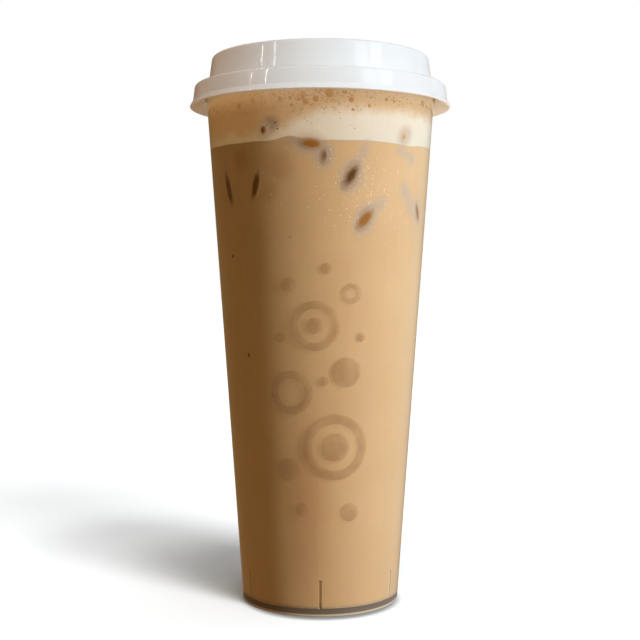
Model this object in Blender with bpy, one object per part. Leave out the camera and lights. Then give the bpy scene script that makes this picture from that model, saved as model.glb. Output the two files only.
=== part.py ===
"""Iced milk tea under a layer of milk foam, in a tall lidded cup, at its real size.

Run it with: blender --background --python part.py
Lengths are in metres and +Z is up. The origin is the middle of the cup's foot, and -Y is the front.
"""

import math

import bmesh
import bpy
from mathutils import Matrix, Vector

MM = 0.001

# Cup: a straight cone of thin plastic with a turned-down lip
BASE_RADIUS = 28.66 * MM
TAPER = 0.0709
CUP_HEIGHT = 187.0 * MM
WALL = 0.9 * MM
LIP_RADIUS = 45.0 * MM
LIP_THICKNESS = 1.2 * MM
LIP_DROP = 2.9 * MM
LIP_ROUNDING = 0.5 * MM
FLOOR_UNDERSIDE = 1.4 * MM
FLOOR_TOP = 2.5 * MM
FLOOR_CORNER = 1.5 * MM
FOOT_WIDTH = 2.2 * MM
FOOT_ROUNDING = 0.5 * MM

# Stacking ribs inside the cup, just above its floor
RIB_COUNT = 6
RIB_WIDTH = 1.15 * MM
RIB_DEPTH = 0.75 * MM
RIB_TOP = 13.0 * MM
RIB_ROOT = 0.45 * MM
# How much of the rib's half-width its rounded upper end takes
RIB_END = 0.9
RIB_END_STEPS = 3

# Lid: a raised drum with a sunken panel, a flat shoulder and a skirt that flares at its edge
LID_TOP = 198.4 * MM
LID_THICKNESS = 0.85 * MM
LID_ROUNDING = 1.0 * MM
DRUM_TOP_RADIUS = 39.65 * MM
DRUM_FOOT_RADIUS = 41.03 * MM
DRUM_FOOT_ROUNDING = 0.5 * MM
DRUM_RIM_WIDTH = 4.0 * MM
PANEL_DEPTH = 4.2 * MM
PANEL_WALL_DRAFT = 0.9 * MM
PANEL_RING_RADIUS = 19.0 * MM
PANEL_RING_WIDTH = 1.6 * MM
PANEL_RING_HEIGHT = 0.5 * MM
SHOULDER_TOP = 188.15 * MM
SHOULDER_RADIUS = 45.95 * MM
SKIRT_RADIUS = 46.65 * MM
SKIRT_FOOT = 182.55 * MM
FLARE_RADIUS = 47.85 * MM
FLARE_FOOT = 180.6 * MM
FLARE_EDGE = 0.65 * MM
FLARE_EDGE_ROUNDING = 0.2 * MM
CATCH_BEAD_RADIUS = 44.8 * MM
CATCH_BEAD_HEIGHT = 183.3 * MM
CATCH_BEAD_HALF = 0.5 * MM
CATCH_BEAD_ROUNDING = 0.15 * MM

# Drink: milk tea up to a wavy line, and milk foam from there to just under the lid
GAP = 0.3 * MM
TEA_LINE = 164.75 * MM
FOAM_TOP = 184.0 * MM
# Waves of the line round the cup: how many, how high and where a crest stands
LINE_WAVES = ((2, 0.30 * MM, math.radians(90)), (7, 0.07 * MM, math.radians(20)))
# Places where ice lifts the line or foam sinks: angle from the front, height and half-width
LINE_HUMPS = (
    (math.radians(-15), 1.50 * MM, math.radians(6.5)),
    (math.radians(50), -0.60 * MM, math.radians(13)),
    (math.radians(118), 0.95 * MM, math.radians(8)),
    (math.radians(-142), 1.10 * MM, math.radians(7)),
)
# Soft lumps on the foam's top
FOAM_WAVES = ((3, 0.35 * MM, math.radians(25)), (5, 0.25 * MM, math.radians(70)))

# Rings of points on a liquid's top, as shares of its radius
TOP_SHARES = (1.0, 0.85, 0.6, 0.3, 0.0)
SEGMENTS = 72
ARC_STEPS = 2
SMOOTH_ANGLE = math.radians(35)


def clear_scene():
    """Removes what the startup scene holds."""
    for obj in list(bpy.data.objects):
        bpy.data.objects.remove(obj, do_unlink=True)


def finish_of(name, colour, roughness, alpha=1.0):
    """A plain material for one kind of piece."""
    material = bpy.data.materials.new(name)
    material.use_nodes = True
    shader = material.node_tree.nodes["Principled BSDF"]
    shader.inputs["Base Color"].default_value = (*colour, 1.0)
    shader.inputs["Roughness"].default_value = roughness
    shader.inputs["Metallic"].default_value = 0.0
    shader.inputs["Alpha"].default_value = alpha
    return material


def cone_radius(height):
    """Outer radius of the cup's wall at a height."""
    return BASE_RADIUS + TAPER * height


def inner_radius(height):
    """Inner radius of the cup's wall at a height."""
    return cone_radius(height) - WALL


def rounded(corners):
    """An outline through corners (r, z, rounding), with an arc of that radius at each rounded corner."""
    outline = []
    for i, (r, z, rounding) in enumerate(corners):
        here = Vector((r, z))
        if rounding == 0 or i in (0, len(corners) - 1):
            outline.append(here)
            continue
        back = (Vector(corners[i - 1][:2]) - here).normalized()
        ahead = (Vector(corners[i + 1][:2]) - here).normalized()
        half = back.angle(ahead) / 2
        reach = rounding / math.tan(half)
        centre = here + (back + ahead).normalized() * (rounding / math.sin(half))
        start = here + back * reach - centre
        end = here + ahead * reach - centre
        turn = start.angle_signed(end)
        for step in range(ARC_STEPS + 1):
            outline.append(centre + Matrix.Rotation(-turn * step / ARC_STEPS, 2) @ start)
    return outline


def add_object(name, mesh_data, material):
    """Makes a mesh object from a bmesh, shaded smooth but for its sharp edges."""
    bmesh.ops.recalc_face_normals(mesh_data, faces=mesh_data.faces)
    mesh = bpy.data.meshes.new(name)
    mesh_data.to_mesh(mesh)
    mesh_data.free()
    mesh.shade_smooth()
    mesh.set_sharp_from_angle(angle=SMOOTH_ANGLE)
    obj = bpy.data.objects.new(name, mesh)
    bpy.context.scene.collection.objects.link(obj)
    if material:
        mesh.materials.append(material)
    return obj


def turned(outline):
    """A bmesh of the outline spun once round the Z axis. The outline starts and ends on the axis."""
    body = bmesh.new()
    verts = [body.verts.new((point.x, 0.0, point.y)) for point in outline]
    edges = [body.edges.new(pair) for pair in zip(verts, verts[1:])]
    bmesh.ops.spin(
        body, geom=verts + edges, axis=(0, 0, 1), cent=(0, 0, 0),
        angle=2 * math.pi, steps=SEGMENTS, use_merge=True,
    )
    bmesh.ops.remove_doubles(body, verts=body.verts, dist=0.001 * MM)
    return body


def angle_from_front(point):
    """Angle of a point round the cup: 0 at the front, growing towards +X."""
    return math.atan2(point.x, -point.y)


def line_rise(angle):
    """How far the line between tea and foam stands above TEA_LINE at the wall."""
    rise = sum(high * math.cos(count * angle - count * crest) for count, high, crest in LINE_WAVES)
    for place, high, half_width in LINE_HUMPS:
        away = (angle - place + math.pi) % (2 * math.pi) - math.pi
        rise += high * math.exp(-((away / half_width) ** 2))
    return rise


def foam_rise(angle):
    """How far the foam's top stands above FOAM_TOP near the wall."""
    return sum(high * math.cos(count * angle - count * crest) for count, high, crest in FOAM_WAVES)


def ripple(body, level, rise, rim):
    """Lifts the points at one level by rise(angle), fading to nothing at the axis.

    The points at the rim follow the wall's slope, so that the gap to the wall stays the same.
    """
    for vert in body.verts:
        if abs(vert.co.z - level) > 0.01 * MM:
            continue
        radius = math.hypot(vert.co.x, vert.co.y)
        if radius < 0.01 * MM:
            continue
        lift = rise(angle_from_front(vert.co)) * (radius / rim) ** 2
        grown = (radius + TAPER * lift * (radius / rim)) / radius
        vert.co = Vector((vert.co.x * grown, vert.co.y * grown, vert.co.z + lift))


def rib_tool(name, room):
    """Six upright bars on the inside of the wall, grown by some room. It is a helper, and isn't shown."""
    low, high = FLOOR_TOP - RIB_ROOT, RIB_TOP + room
    half = RIB_WIDTH / 2 + room
    bars = bmesh.new()
    bmesh.ops.create_cube(bars, size=1.0)
    for vert in bars.verts:
        height = high if vert.co.z > 0 else low
        inset = RIB_DEPTH + room if vert.co.y > 0 else -RIB_ROOT
        vert.co = Vector((math.copysign(half, vert.co.x), inset - inner_radius(height), height))
    shoulders = [edge for edge in bars.edges if all(vert.co.z == high for vert in edge.verts)
                 and edge.verts[0].co.x == edge.verts[1].co.x]
    bmesh.ops.bevel(bars, geom=shoulders, offset=half * RIB_END, segments=RIB_END_STEPS, affect="EDGES",
                    profile=0.5)
    bmesh.ops.spin(
        bars, geom=bars.verts[:] + bars.edges[:] + bars.faces[:], axis=(0, 0, 1), cent=(0, 0, 0),
        angle=math.tau * (RIB_COUNT - 1) / RIB_COUNT, steps=RIB_COUNT - 1, use_duplicate=True,
    )
    tool = add_object(name, bars, None)
    tool.hide_render = True
    tool.display_type = "WIRE"
    return tool


def boolean(obj, tool, operation):
    """Joins a helper to an object, or cuts it away."""
    modifier = obj.modifiers.new(tool.name, "BOOLEAN")
    modifier.operation = operation
    modifier.object = tool
    modifier.solver = "EXACT"


def make_cup(material):
    """The cup: foot ring, floor, straight wall and a lip turned down at its edge, with ribs inside."""
    lip_under = CUP_HEIGHT - LIP_THICKNESS
    lip_foot = CUP_HEIGHT - LIP_DROP
    foot_inner = BASE_RADIUS - FOOT_WIDTH
    outline = rounded([
        (0.0, FLOOR_UNDERSIDE, 0),
        (foot_inner, FLOOR_UNDERSIDE, 0),
        (foot_inner, 0.0, FOOT_ROUNDING),
        (BASE_RADIUS, 0.0, FOOT_ROUNDING),
        (cone_radius(lip_under), lip_under, 0),
        (LIP_RADIUS - WALL, lip_under, 0),
        (LIP_RADIUS - WALL, lip_foot, 0),
        (LIP_RADIUS, lip_foot, 0),
        (LIP_RADIUS, CUP_HEIGHT, LIP_ROUNDING),
        (inner_radius(CUP_HEIGHT), CUP_HEIGHT, LIP_ROUNDING),
        (inner_radius(FLOOR_TOP), FLOOR_TOP, FLOOR_CORNER),
        (0.0, FLOOR_TOP, 0),
    ])
    cup = add_object("cup", turned(outline), material)
    boolean(cup, rib_tool("rib_bars", 0.0), "UNION")
    return cup


def make_tea(material):
    """The milk tea: all that the cup holds below the foam, cut clear of the ribs."""
    floor = FLOOR_TOP + GAP
    rim = inner_radius(TEA_LINE) - GAP
    corners = [(0.0, floor, 0), (inner_radius(floor) - GAP, floor, FLOOR_CORNER)]
    corners += [(rim * share, TEA_LINE, 0) for share in TOP_SHARES]
    body = turned(rounded(corners))
    ripple(body, TEA_LINE, line_rise, rim)
    tea = add_object("milk_tea", body, material)
    boolean(tea, rib_tool("rib_slots", GAP), "DIFFERENCE")
    return tea


def make_foam(material):
    """The milk foam: from the tea's wavy line to a soft, lumpy top."""
    floor = TEA_LINE + GAP
    low_rim = inner_radius(floor) - GAP
    high_rim = inner_radius(FOAM_TOP) - GAP
    corners = [(low_rim * share, floor, 0) for share in reversed(TOP_SHARES)]
    corners += [(high_rim * share, FOAM_TOP, 0) for share in TOP_SHARES]
    body = turned(rounded(corners))
    ripple(body, floor, line_rise, low_rim)
    ripple(body, FOAM_TOP, foam_rise, high_rim)
    return add_object("milk_foam", body, material)


def make_lid(material):
    """The lid: an even shell whose skirt hooks under the cup's lip."""
    thick = LID_THICKNESS
    panel = LID_TOP - PANEL_DEPTH
    rim_inner = DRUM_TOP_RADIUS - DRUM_RIM_WIDTH
    ring_low = PANEL_RING_RADIUS - PANEL_RING_WIDTH / 2
    ring_high = PANEL_RING_RADIUS + PANEL_RING_WIDTH / 2
    skirt_inner = LIP_RADIUS + GAP
    upper = [
        (0.0, panel, 0),
        (ring_low, panel, 0),
        (ring_low + PANEL_RING_HEIGHT, panel + PANEL_RING_HEIGHT, 0),
        (ring_high - PANEL_RING_HEIGHT, panel + PANEL_RING_HEIGHT, 0),
        (ring_high, panel, 0),
        (rim_inner - PANEL_WALL_DRAFT, panel, LID_ROUNDING),
        (rim_inner, LID_TOP, LID_ROUNDING),
        (DRUM_TOP_RADIUS, LID_TOP, LID_ROUNDING),
        (DRUM_FOOT_RADIUS, SHOULDER_TOP, DRUM_FOOT_ROUNDING),
        (SHOULDER_RADIUS, SHOULDER_TOP, LID_ROUNDING),
        (SKIRT_RADIUS, SKIRT_FOOT, LID_ROUNDING),
        (FLARE_RADIUS, FLARE_FOOT, FLARE_EDGE_ROUNDING),
    ]
    under = [
        (FLARE_RADIUS - FLARE_EDGE, FLARE_FOOT - FLARE_EDGE_ROUNDING, FLARE_EDGE_ROUNDING),
        (SKIRT_RADIUS - thick, SKIRT_FOOT, 0),
        (CATCH_BEAD_RADIUS, CATCH_BEAD_HEIGHT, CATCH_BEAD_ROUNDING),
        (skirt_inner, CATCH_BEAD_HEIGHT + CATCH_BEAD_HALF, 0),
        (skirt_inner, SHOULDER_TOP - thick, 0),
        (DRUM_FOOT_RADIUS - thick, SHOULDER_TOP - thick, 0),
        (DRUM_TOP_RADIUS - thick, LID_TOP - thick, 0),
        (rim_inner + thick, LID_TOP - thick, 0),
        (rim_inner + thick - PANEL_WALL_DRAFT, panel - thick, 0),
        (0.0, panel - thick, 0),
    ]
    return add_object("lid", turned(rounded(upper + under)), material)


def main():
    clear_scene()
    make_cup(finish_of("clear plastic", (0.86, 0.80, 0.72), 0.25, alpha=0.35))
    make_tea(finish_of("milk tea", (0.60, 0.37, 0.17), 0.35))
    make_foam(finish_of("milk foam", (0.85, 0.72, 0.52), 0.6))
    make_lid(finish_of("white plastic", (0.88, 0.88, 0.87), 0.2))


main()
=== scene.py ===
"""Dresses the packed iced milk tea for its picture: the drink, its milk foam, the clear cup and the white lid.

Lengths are in metres and +Z is up. Angles round the cup start at its front, -Y, and grow towards +X.
"""

import logging
import math
import random
from collections.abc import Iterable, Sequence
from dataclasses import dataclass, field, replace
from enum import Enum
from typing import Any

import bmesh
import bpy
from bmesh.types import BMesh
from bpy.types import Collection, Material, Node, NodeSocket, Object, World
from mathutils import Matrix, Vector, noise


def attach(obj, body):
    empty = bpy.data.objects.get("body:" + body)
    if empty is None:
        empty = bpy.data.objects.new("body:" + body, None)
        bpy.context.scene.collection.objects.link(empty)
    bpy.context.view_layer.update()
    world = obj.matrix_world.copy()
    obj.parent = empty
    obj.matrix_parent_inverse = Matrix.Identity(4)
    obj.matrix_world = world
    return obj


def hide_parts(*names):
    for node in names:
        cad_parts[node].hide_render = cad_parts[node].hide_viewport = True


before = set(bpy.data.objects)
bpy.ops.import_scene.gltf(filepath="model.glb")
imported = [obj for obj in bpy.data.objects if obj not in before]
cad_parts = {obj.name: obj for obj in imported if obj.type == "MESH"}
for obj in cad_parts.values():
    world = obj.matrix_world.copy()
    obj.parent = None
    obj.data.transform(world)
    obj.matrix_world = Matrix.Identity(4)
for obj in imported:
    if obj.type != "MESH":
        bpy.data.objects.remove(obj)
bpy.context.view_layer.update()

BODY = "root"
MM = 0.001
# Turned bodies have this many steps round the axis, and this many in each rounded corner
TURN_STEPS = 240
ARC_STEPS = 5
MERGE_DISTANCE = 0.0005 * MM
SHARP_ANGLE = math.radians(32)
# A corner of a turned outline: its radius, its height and, unless it is sharp, the radius of its rounding
Corner = tuple[float, ...]
# Bubbles, motifs or the like, each by its angle in degrees and its height and sizes in millimetres
Rows = Sequence[tuple[float, ...]]
Colour = tuple[float, float, float]

log = logging.getLogger("milk_tea")


def linear(hex_colour: str) -> tuple[float, float, float, float]:
    """Turns a colour's hash code into the linear red, green, blue and full opacity that a shader takes."""
    parts = [int(hex_colour[i:i + 2], 16) / 255 for i in (1, 3, 5)]
    return (*(part / 12.92 if part <= 0.04045 else ((part + 0.055) / 1.055) ** 2.4 for part in parts), 1.0)


def polar(degrees: float, radius: float = 1.0, height: float = 0.0) -> Vector:
    """The point at an angle round the cup's axis, a radius away from it and a height."""
    turn = math.radians(degrees)
    return Vector((math.sin(turn) * radius, -math.cos(turn) * radius, height))


def settle(body: BMesh) -> None:
    """Gives a body's corners, edges and faces an order that is the same in each run, which a spin's own may not be.

    Args:
        body: The body to put in order.
    """
    for parts in (body.verts, body.edges, body.faces):
        totals = {part: sum((vert.co for vert in getattr(part, "verts", [part])), Vector()) for part in parts}
        for index, part in enumerate(sorted(parts, key=lambda part: totals[part][:])):
            part.index = index
        parts.sort()


def turned(corners: Sequence[Corner]) -> BMesh:
    """Draws an outline through corners, with an arc at each rounded one, and spins it once round the cup's axis.

    Args:
        corners: The outline's corners, the first and the last sharp and on the axis.

    Returns:
        The closed body.
    """
    points = [Vector(corner[:2]) for corner in corners]
    outline = []
    for i, (here, corner) in enumerate(zip(points, corners)):
        if len(corner) == 2:
            outline.append(here)
            continue
        back, ahead = (points[i - 1] - here).normalized(), (points[i + 1] - here).normalized()
        half = back.angle(ahead) / 2
        centre = here + (back + ahead).normalized() * (corner[2] / math.sin(half))
        reach = corner[2] / math.tan(half)
        start = here + back * reach - centre
        turn = start.angle_signed(here + ahead * reach - centre)
        outline += [centre + Matrix.Rotation(-turn * step / ARC_STEPS, 2) @ start for step in range(ARC_STEPS + 1)]
    body = bmesh.new()
    verts = [body.verts.new((point.x, 0.0, point.y)) for point in outline]
    edges = [body.edges.new(pair) for pair in zip(verts, verts[1:])]
    around = {"axis": (0, 0, 1), "cent": (0, 0, 0), "angle": math.tau, "steps": TURN_STEPS}
    bmesh.ops.spin(body, geom=verts + edges, use_merge=True, **around)
    bmesh.ops.remove_doubles(body, verts=body.verts, dist=MERGE_DISTANCE)
    settle(body)
    return body


def ball(rings: int, turns: int, crowding: float = 1.0) -> list[list[Vector]]:
    """Lays rings of points over a ball of radius 1.

    Args:
        rings: How many steps there are from its top to its foot.
        turns: How many points a ring has.
        crowding: How strongly the rings crowd round the top, evenly at 1.

    Returns:
        The rings from the top down, of which the first and the last are single points.
    """
    polars = [math.pi * (ring / rings) ** crowding for ring in range(rings + 1)]
    return [
        [
            Vector((math.cos(around) * math.sin(polar), math.sin(around) * math.sin(polar), math.cos(polar)))
            for around in (math.tau * turn / turns for turn in range(1 if polar in (polars[0], polars[-1]) else turns))
        ]
        for polar in polars
    ]


def skin(body: BMesh, rings: Iterable[Sequence[Vector]], looped: bool = False) -> None:
    """Skins rings of points, or single points, into a closed shape.

    Args:
        body: The body that the shape is added to.
        rings: The rings, in order.
        looped: Whether the last ring joins the first.
    """
    rows = [[body.verts.new(point) for point in ring] for ring in rings]
    for upper, lower in zip(rows, rows[1:] + rows[:1] if looped else rows[1:]):
        count = max(len(upper), len(lower))
        for turn in range(count):
            after = (turn + 1) % count
            corners = [
                upper[turn % len(upper)], upper[after % len(upper)],
                lower[after % len(lower)], lower[turn % len(lower)],
            ]
            body.faces.new(list(dict.fromkeys(corners)))


def show(name: str, body: BMesh) -> Object:
    """Puts a body into the scene.

    Args:
        name: Its name there.
        body: The body, which is used up.

    Returns:
        The new object.
    """
    bmesh.ops.recalc_face_normals(body, faces=body.faces)
    mesh = bpy.data.meshes.new(name)
    body.to_mesh(mesh)
    body.free()
    shown = bpy.data.objects.new(name, mesh)
    bpy.context.scene.collection.objects.link(shown)
    return shown


def add_piece(name: str, body: BMesh, material: Material, nodes: Iterable[str] = ()) -> Object:
    """Makes a shown piece of a finished body, smooth but for its sharp edges.

    Args:
        name: The piece's name.
        body: The piece's mesh, which is used up.
        material: Its finish.
        nodes: The solids that it stands for.

    Returns:
        The new piece, riding on the cup.
    """
    piece = show(name, body)
    piece.data.shade_smooth()
    piece.data.set_sharp_from_angle(angle=SHARP_ANGLE)
    piece.data.materials.append(material)
    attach(piece, BODY)
    if nodes:
        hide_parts(*nodes)
    log.info("%s: %d faces", name, len(piece.data.polygons))
    return piece


def carve(piece: Object, tool: BMesh, operation: str) -> None:
    """Joins a helper body to a piece, or cuts it away, for good.

    Args:
        piece: The piece to change.
        tool: The helper body, which is used up.
        operation: The Boolean's name, UNION or DIFFERENCE.
    """
    helper = show("tool", tool)
    cut = piece.modifiers.new("carve", "BOOLEAN")
    cut.operation, cut.object, cut.solver = operation, helper, "EXACT"
    carved = bpy.data.meshes.new_from_object(piece.evaluated_get(bpy.context.evaluated_depsgraph_get()))
    piece.modifiers.clear()
    piece.data = carved
    carved.shade_smooth()
    carved.set_sharp_from_angle(angle=SHARP_ANGLE)
    bpy.data.objects.remove(helper, do_unlink=True)


@dataclass(frozen=True)
class WallShape:
    """The cup's straight, tapered wall, which the drink reaches into by the overlap, so that no air gap shows."""

    base_radius: float = 28.66 * MM
    taper: float = 0.0709
    thickness: float = 0.9 * MM
    overlap: float = 0.05 * MM

    def outer(self, height: float) -> float:
        """Outer radius at a height."""
        return self.base_radius + self.taper * height

    def inner(self, height: float) -> float:
        """Inner radius at a height."""
        return self.outer(height) - self.thickness

    def drink(self, height: float) -> float:
        """The drink's radius at a height."""
        return self.inner(height) + self.overlap

    def frame_at(self, angle: float, height: float, radius: float, lean: float = 0.0) -> Matrix:
        """Gives the place and turn of something that lies on the wall.

        Args:
            angle: Where it is round the cup, in degrees.
            height: Where it is above the foot.
            radius: Its distance from the cup's axis.
            lean: How far it is turned on the wall, anticlockwise as seen from outside, in degrees.

        Returns:
            A matrix with X across the wall, Y up along it and Z straight out of it.
        """
        across, upward = polar(angle + 90), polar(angle, self.taper, 1.0).normalized()
        turn = Matrix((across, upward, across.cross(upward))).transposed().to_4x4()
        return Matrix.Translation(polar(angle, radius, height)) @ turn @ Matrix.Rotation(math.radians(lean), 4, "Z")


@dataclass(frozen=True)
class Ribs:
    """The six stacking ribs inside the wall, just above the floor."""

    wall: WallShape
    count: int = 6
    width: float = 1.15 * MM
    depth: float = 0.75 * MM
    foot: float = 2.05 * MM
    top: float = 13.0 * MM
    root: float = 0.45 * MM
    end_share: float = 0.95
    end_steps: int = 6

    def bars(self, room: float) -> BMesh:
        """Makes the ribs as bars that start inside the wall.

        Args:
            room: How much every side of a bar stands out past the rib's own.

        Returns:
            All the bars in one body.
        """
        top, half = self.top + room, self.width / 2 + room
        bars = bmesh.new()
        bmesh.ops.create_cube(bars, size=1.0)
        for vert in bars.verts:
            height = top if vert.co.z > 0 else self.foot
            inset = self.depth + room if vert.co.y > 0 else -self.root
            vert.co = Vector((math.copysign(half, vert.co.x), inset - self.wall.inner(height), height))
        shoulders = [edge for edge in bars.edges if all(vert.co.z == top for vert in edge.verts)
                     and edge.verts[0].co.x == edge.verts[1].co.x]
        bmesh.ops.bevel(
            bars, geom=shoulders, offset=half * self.end_share, segments=self.end_steps, affect="EDGES", profile=0.5,
        )
        bmesh.ops.spin(
            bars, geom=bars.verts[:] + bars.edges[:] + bars.faces[:], axis=(0, 0, 1), cent=(0, 0, 0),
            angle=math.tau * (self.count - 1) / self.count, steps=self.count - 1, use_duplicate=True,
        )
        settle(bars)
        return bars


class ShaderTree:
    """The node tree of a new material or of the surroundings, with short ways to add its nodes.

    A number or a colour may be given as it is, a colour as its hash code too, or as the output that works it out.
    """

    def __init__(self, owner: Material | World) -> None:
        """Starts an empty tree for a material or the surroundings."""
        self.owner, owner.use_nodes = owner, True
        owner.node_tree.nodes.clear()

    @classmethod
    def for_material(cls, name: str) -> "ShaderTree":
        """Starts the tree of a new material."""
        return cls(bpy.data.materials.new(name))

    def add(self, kind: str, inputs: dict[str | int, Any] | None = None, **settings: Any) -> Node:
        """Adds a node.

        Args:
            kind: The node's type, without the words that they all start with.
            inputs: A value for each input, or the output or the node that feeds it.
            settings: The node's own settings.

        Returns:
            The new node.
        """
        node = self.owner.node_tree.nodes.new(f"ShaderNode{kind}")
        for key, value in settings.items():
            setattr(node, key, value)
        for key, value in (inputs or {}).items():
            source = value.outputs[0] if isinstance(value, Node) else value
            if isinstance(source, NodeSocket):
                self.owner.node_tree.links.new(source, node.inputs[key])
            else:
                node.inputs[key].default_value = linear(source) if isinstance(source, str) else source
        return node

    def place(self) -> NodeSocket:
        """The shaded point's place on the object."""
        return self.add("TexCoord").outputs["Object"]

    def axes(self) -> Sequence[NodeSocket]:
        """The shaded point's X, Y and Z on the object."""
        return self.add("SeparateXYZ", {0: self.place()}).outputs

    def maths(self, operation: str, *values: Any) -> NodeSocket:
        """Works out a number from others."""
        return self.add("Math", dict(enumerate(values)), operation=operation).outputs[0]

    def vector_maths(self, operation: str, *values: Any) -> Node:
        """Works out a place, or a number from places."""
        return self.add("VectorMath", dict(enumerate(values)), operation=operation)

    def ramp(self, value: Any, low: float, high: float, first: float = 0.0, last: float = 1.0) -> NodeSocket:
        """Eases a number from a first level at its low end to a last one at its high end, which may be the lower."""
        inputs = {"Value": value, "From Min": low, "From Max": high, "To Min": first, "To Max": last}
        return self.add("MapRange", inputs, interpolation_type="SMOOTHSTEP").outputs[0]

    def mix(self, share: Any, first: Any, second: Any, blend: str = "MIX") -> NodeSocket:
        """Mixes two colours, of which the second has the given share."""
        return self.add("Mix", {0: share, 6: first, 7: second}, data_type="RGBA", blend_type=blend).outputs[2]

    def mix_shaders(self, share: Any, first: Node, second: Node) -> Node:
        """Mixes two shaders, of which the second has the given share."""
        return self.add("MixShader", {0: share, 1: first, 2: second})

    def noise(self, size: float, detail: float = 2.0, place: Any = None) -> NodeSocket:
        """Adds a cloudy pattern of a cloud size, about 0.5 on average, with some finer layers as its detail."""
        inputs = {"Vector": place or self.place(), "Scale": 1 / size, "Detail": detail}
        return self.add("TexNoise", inputs).outputs["Fac"]

    def clouds(
        self, size: float, first: float = 0.0, last: float = 1.0, low: float = 0.3, high: float = 0.7, **more: Any,
    ) -> NodeSocket:
        """Adds a cloudy pattern that eases from a first level to a last one."""
        return self.ramp(self.noise(size, **more), low, high, first, last)

    def depth_in_wall(self, wall: WallShape) -> NodeSocket:
        """How far the shaded point stands outside the wall's inner face.

        Args:
            wall: The cup's wall.

        Returns:
            The distance's output.
        """
        parts = self.axes()
        squares = self.maths("MULTIPLY_ADD", parts[0], parts[0], self.maths("MULTIPLY", parts[1], parts[1]))
        face = self.maths("MULTIPLY_ADD", parts[2], wall.taper, wall.inner(0.0))
        return self.maths("SUBTRACT", self.maths("SQRT", squares), face)

    def bump(self, height: Any, depth: float) -> NodeSocket:
        """Turns a pattern into fine relief of a depth."""
        return self.add("Bump", {"Height": height, "Distance": depth}).outputs["Normal"]

    def finish(self, shader: Node) -> Material | World:
        """Ends the tree with the shader that shows, and gives what the tree is for."""
        self.add("OutputWorld" if isinstance(self.owner, World) else "OutputMaterial", {"Surface": shader})
        return self.owner


@dataclass(frozen=True)
class Spot:
    """An oval place on the cup's wall: where it is, in degrees and metres, and how it lies."""

    angle: float
    height: float
    width: float
    length: float
    lean: float = 0.0

    def grown(self, margin: float) -> "Spot":
        """The same spot with a margin all round."""
        return replace(self, width=self.width + 2 * margin, length=self.length + 2 * margin)


def spots(*rows: tuple[float, ...]) -> tuple[Spot, ...]:
    """Makes spots of an angle, a height, a width, a length and a lean each, in degrees and millimetres."""
    return tuple(Spot(angle, *(size * MM for size in sizes), lean) for angle, *sizes, lean in rows)


class Tone(Enum):
    """How a piece of ice looks where it lies against the wall."""

    DARK = "dark"
    BROWN = "brown"
    AMBER = "amber"
    TAN = "tan"
    GREY = "grey"


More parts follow.
